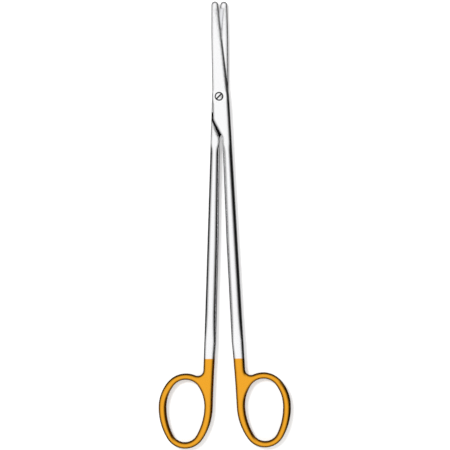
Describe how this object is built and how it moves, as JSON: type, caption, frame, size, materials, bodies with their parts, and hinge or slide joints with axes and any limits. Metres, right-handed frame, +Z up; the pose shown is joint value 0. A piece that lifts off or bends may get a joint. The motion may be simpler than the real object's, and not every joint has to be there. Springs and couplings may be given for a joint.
{
  "type": "dissecting scissors",
  "caption": "Straight blunt-tipped dissecting scissors with long slender shanks, slotted pivot screw, hard metal cutting strips and gold plated finger rings",
  "frame": {"origin": "on the pivot screw's axis, in the underside on which the scissors lie", "axes": "+Y towards the tips along the middle line of the opened pair, +X to the right seen from above with the screw head up, +Z up out of the face with the screw head"},
  "size_m": [0.068, 0.2301, 0.0053],
  "materials": {
    "satin_steel": "satin stainless steel, finger rings gold plated",
    "hard_metal": "ground tungsten carbide",
    "screw_steel": "turned and polished stainless steel"
  },
  "bodies": {
    "rear": {"rear_half": "satin_steel", "rear_insert": "hard_metal", "pivot_screw": "screw_steel"},
    "front": {"front_half": "satin_steel", "front_insert": "hard_metal"}
  },
  "joints": [
    {"name": "pivot", "type": "hinge", "parent": "rear", "child": "front", "pos_m": [0, 0, 0], "axis": [0, 0, 1], "range_deg": [-3, 130]}
  ]
}
